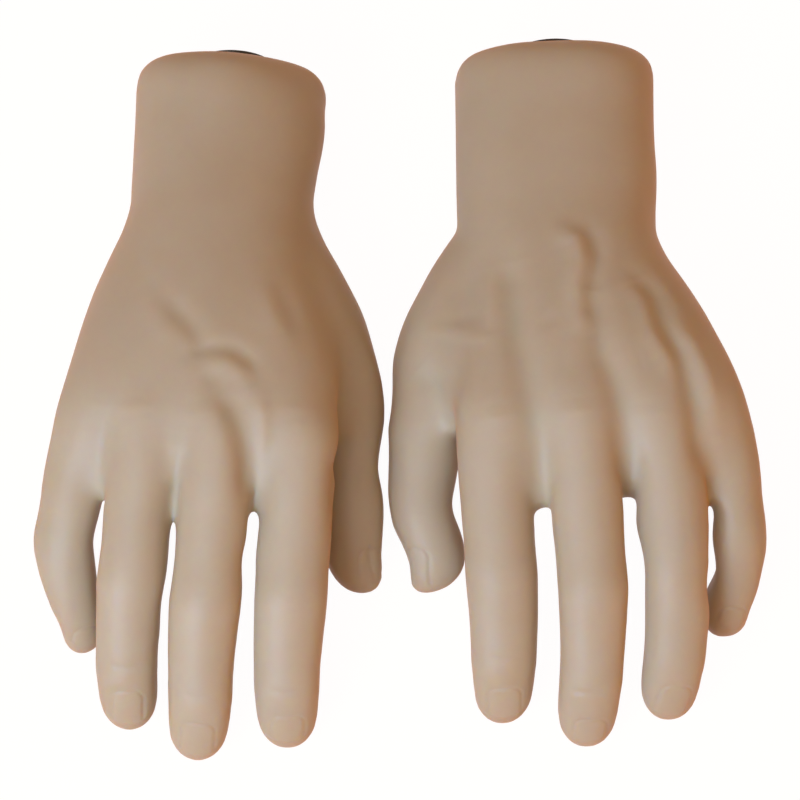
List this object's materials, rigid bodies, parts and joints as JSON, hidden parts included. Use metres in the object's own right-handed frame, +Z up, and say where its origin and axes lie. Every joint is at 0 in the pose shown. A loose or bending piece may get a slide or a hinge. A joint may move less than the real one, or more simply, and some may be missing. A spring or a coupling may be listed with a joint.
{
  "type": "display hand pair",
  "caption": "Pair of life-size adult display hands lying palm down, right and left, each a hollow soft skin over foam with a turning threaded plug in the wrist.",
  "frame": {"origin": "on the table, under the centre of the pair's bounding box, with both hands resting palm down", "axes": "+X to the viewer's right, from the right hand to the left hand; +Y from the fingertips to the wrists; +Z up"},
  "size_m": [0.2138, 0.22, 0.0571],
  "materials": {
    "skin_vinyl": "matte",
    "core_foam": "matte",
    "plug_plastic": "matte",
    "insert_brass": "satin"
  },
  "bodies": {
    "right_hand": {"right_hand_skin": "skin_vinyl", "right_foam_core": "core_foam"},
    "right_wrist_fitting": {"right_wrist_plug": "plug_plastic", "right_threaded_insert": "insert_brass"},
    "left_hand": {"left_hand_skin": "skin_vinyl", "left_foam_core": "core_foam"},
    "left_wrist_fitting": {"left_wrist_plug": "plug_plastic", "left_threaded_insert": "insert_brass"}
  },
  "joints": [
    {"name": "right_wrist_turn", "type": "hinge", "parent": "right_hand", "child": "right_wrist_fitting", "pos_m": [-0.05259, 0.10481, 0.02227], "axis": [0, 1, 0], "continuous": true},
    {"name": "left_hand_lift", "type": "slide", "parent": "right_hand", "child": "left_hand", "axis": [0, 0, 1], "range_m": [0, 0.15]},
    {"name": "left_wrist_turn", "type": "hinge", "parent": "left_hand", "child": "left_wrist_fitting", "pos_m": [0.04801, 0.10901, 0.02178], "axis": [0, 1, 0], "continuous": true}
  ]
}
